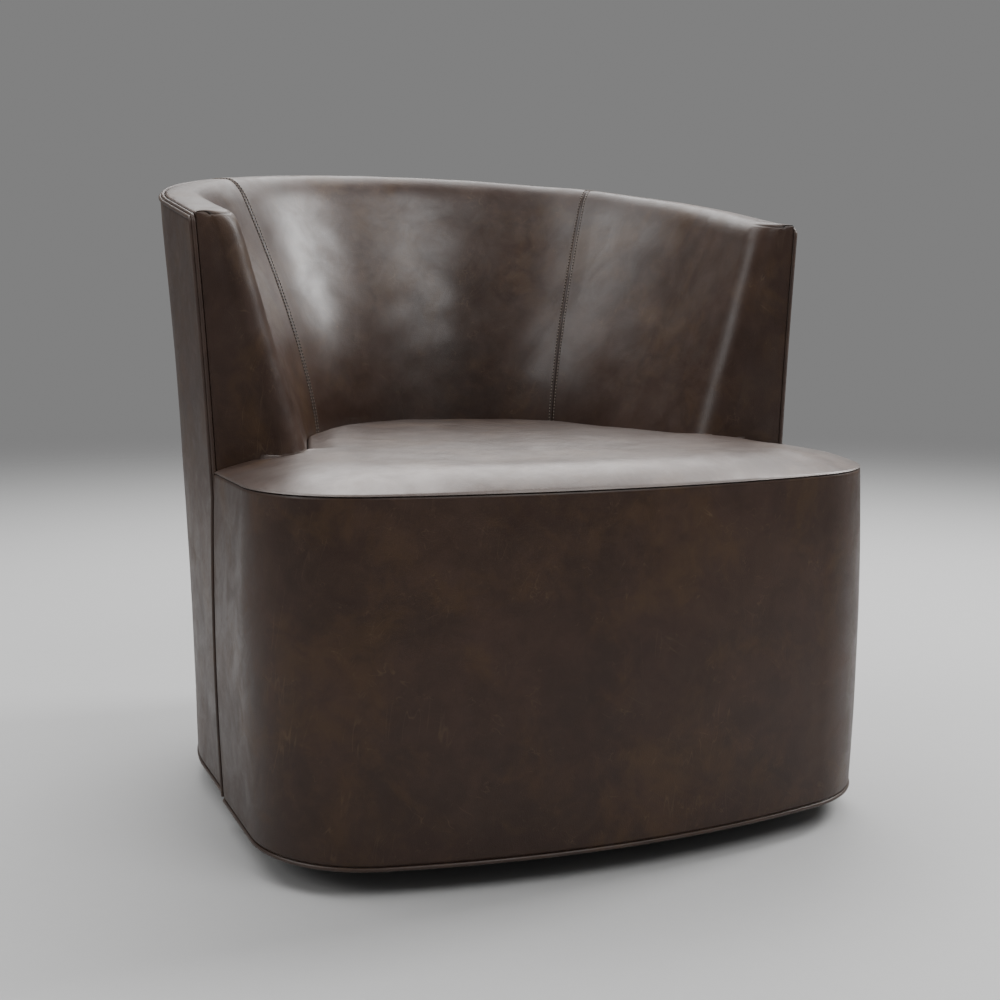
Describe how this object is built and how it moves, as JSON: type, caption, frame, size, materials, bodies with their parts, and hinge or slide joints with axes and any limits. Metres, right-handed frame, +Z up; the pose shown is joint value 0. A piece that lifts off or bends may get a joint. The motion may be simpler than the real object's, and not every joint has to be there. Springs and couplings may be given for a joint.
{
  "type": "leather swivel tub chair",
  "caption": "Low upholstered tub chair in dark brown leather with a curved wrap-around back, turning on a hidden ball bearing swivel base.",
  "frame": {"origin": "on the floor under the swivel axis, at the middle of the overall footprint", "axes": "+Z up, the open front of the seat faces -Y, the back is at +Y, and +X is on the right as one looks at the chair from the front, which is the side the node names call right"},
  "size_m": [0.8008, 0.8571, 0.8047],
  "materials": {
    "dark_leather": "semi-gloss waxed pull-up leather, mottled amber",
    "welt_leather": "semi-gloss waxed leather, lighter on the edges",
    "foam": "open-cell",
    "padding": "bonded polyester wadding",
    "dust_cloth": "black spun-bonded cloth",
    "elastic": "woven rubber webbing",
    "plywood": "bare sanded plywood",
    "hardwood": "bare planed hardwood",
    "fibreboard": "bare bent fibreboard",
    "black_plinth": "black painted, satin",
    "glide_plastic": "matt black",
    "swivel_steel": "zinc plated, satin",
    "zinc_fixings": "zinc plated, satin",
    "spring_wire": "drawn wire, oiled",
    "bearing_steel": "polished",
    "cage_brass": "satin"
  },
  "bodies": {
    "swivel_base": {"base_disc": "black_plinth", "glides": "glide_plastic", "glide_screws": "zinc_fixings", "swivel_lower_plate": "swivel_steel", "lower_plate_screws": "zinc_fixings", "king_pin": "swivel_steel", "pin_nut": "swivel_steel"},
    "ball_ring": {"bearing_balls": "bearing_steel", "ball_cage": "cage_brass"},
    "chair": {"swivel_upper_plate": "swivel_steel", "upper_plate_bolts": "zinc_fixings", "swivel_mount_board": "plywood", "board_screws": "zinc_fixings", "cross_rails": "hardwood", "rail_screws": "zinc_fixings", "bottom_ring": "plywood", "frame_posts": "hardwood", "post_screws": "zinc_fixings", "seat_ring": "plywood", "spring_rail": "hardwood", "seat_springs": "spring_wire", "spring_clips": "zinc_fixings", "tie_wires": "spring_wire", "spring_pad": "padding", "seat_foam": "foam", "seat_cover": "dark_leather", "border_cover": "dark_leather", "border_padding": "padding", "front_board": "fibreboard", "top_rail": "plywood", "shell_ribs": "hardwood", "elastic_webs": "elastic", "shell_board": "fibreboard", "right_arm_foam": "foam", "left_arm_foam": "foam", "back_foam": "foam", "right_arm_cover": "dark_leather", "left_arm_cover": "dark_leather", "back_cover": "dark_leather", "right_arm_end_cover": "dark_leather", "left_arm_end_cover": "dark_leather", "right_arm_end_padding": "padding", "left_arm_end_padding": "padding", "arm_end_boards": "plywood", "outside_padding": "padding", "outside_cover": "dark_leather", "rim_welt": "welt_leather", "arm_welts": "welt_leather", "hem_welt": "welt_leather", "dust_cover": "dust_cloth"}
  },
  "joints": [
    {"name": "swivel", "type": "hinge", "parent": "swivel_base", "child": "chair", "pos_m": [0, 0, 0.031], "axis": [0, 0, 1], "continuous": true},
    {"name": "cage_orbit", "type": "hinge", "parent": "swivel_base", "child": "ball_ring", "pos_m": [0, 0, 0.031], "axis": [0, 0, 1], "continuous": true}
  ],
  "couplings": [
    {"joint": "cage_orbit", "follows": "swivel", "ratio": 0.5}
  ]
}
